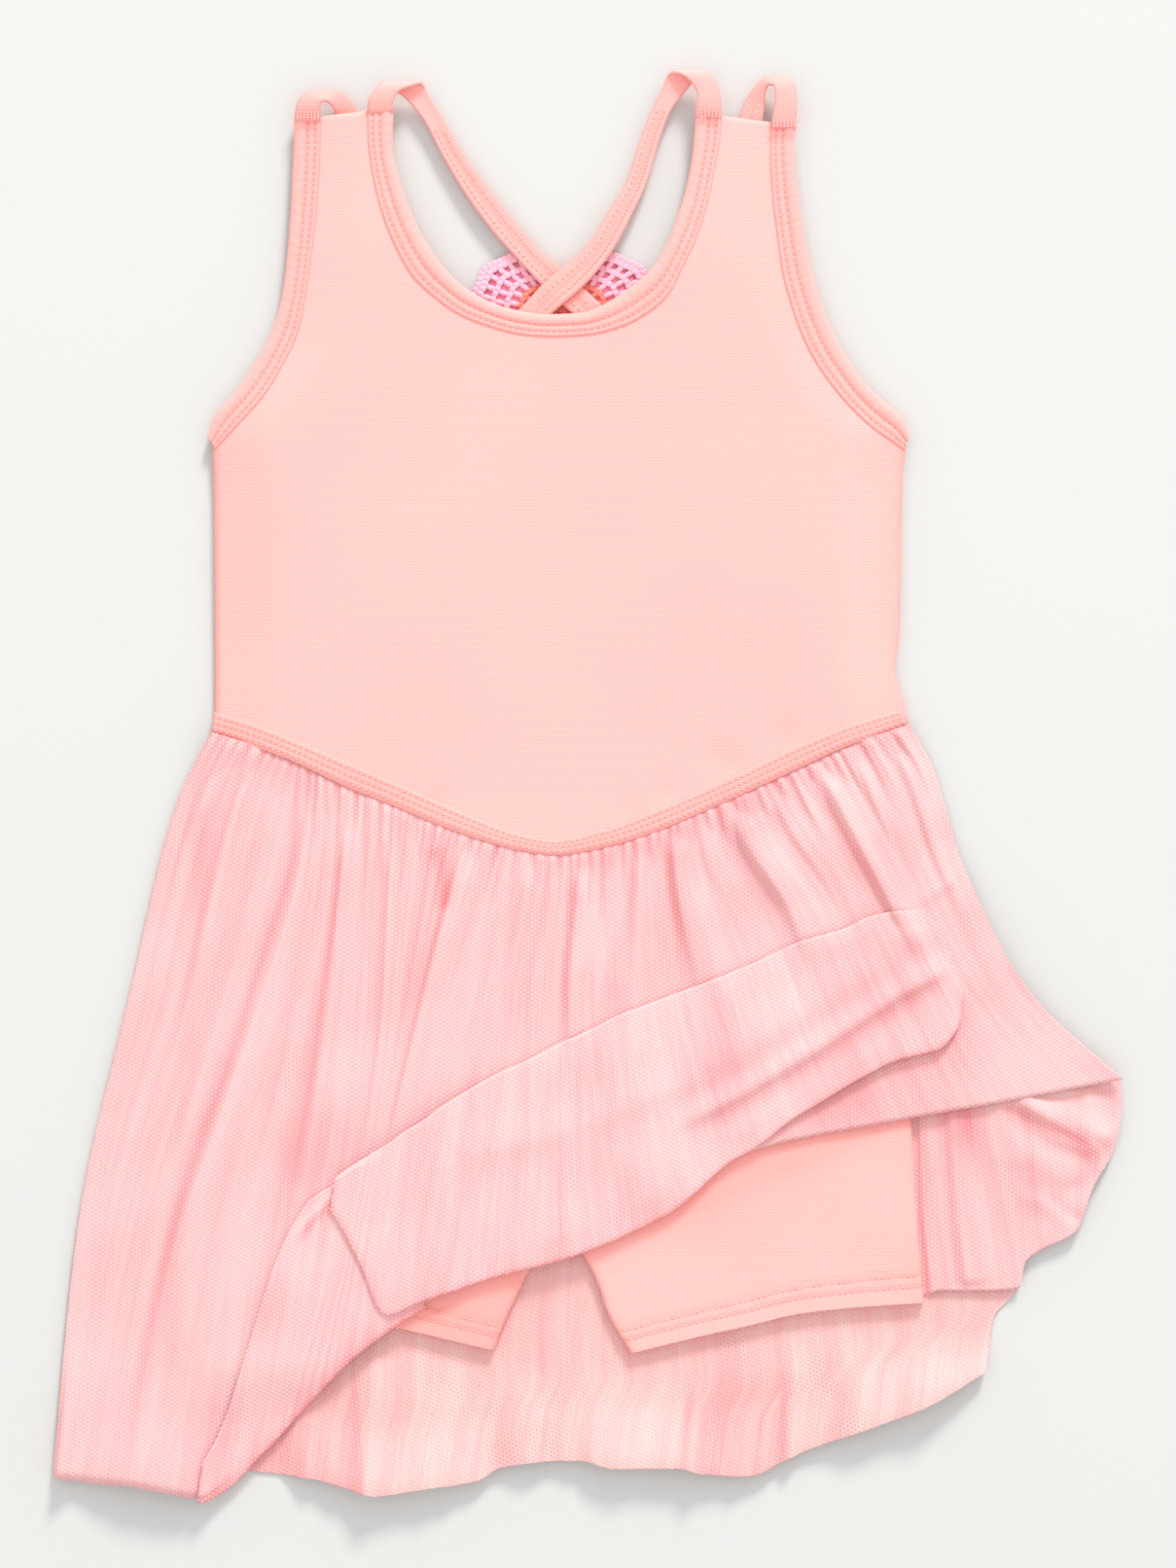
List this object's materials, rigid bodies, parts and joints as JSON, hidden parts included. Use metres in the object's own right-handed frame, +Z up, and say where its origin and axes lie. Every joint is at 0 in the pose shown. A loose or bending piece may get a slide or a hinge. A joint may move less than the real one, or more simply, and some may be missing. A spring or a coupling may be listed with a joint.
{
  "type": "child's tutu dress",
  "caption": "Sleeveless child's dance dress in jersey and tulle laid flat, with crossed straps, a crocheted heart, a lifted skirt front and shorts under it.",
  "frame": {"origin": "centre of the dress's plan on the surface it lies on", "axes": "+X to the right of the picture, +Y towards the straps, +Z up from the surface"},
  "size_m": [0.4293, 0.5716, 0.0119],
  "materials": {
    "jersey": "matte knitted jersey",
    "binding": "matte knitted jersey, folded and stitched",
    "crochet": "matte crocheted yarn",
    "tulle": "fine hexagonal net"
  },
  "bodies": {
    "root": {"bodice_front": "jersey", "bodice_back": "jersey", "neck_binding": "binding", "armhole_binding_left": "binding", "armhole_binding_right": "binding", "back_binding": "binding", "strap_left_inner": "binding", "strap_right_inner": "binding", "strap_left_outer": "binding", "strap_right_outer": "binding", "crochet_heart": "crochet", "waist_band": "binding", "shorts_back_left": "jersey", "shorts_back_right": "jersey", "shorts_front_left": "jersey", "shorts_front_right": "jersey", "skirt_front": "tulle", "skirt_turned_corner": "tulle", "skirt_turned_middle": "tulle", "skirt_side_fall": "tulle", "skirt_back": "tulle"}
  },
  "joints": []
}
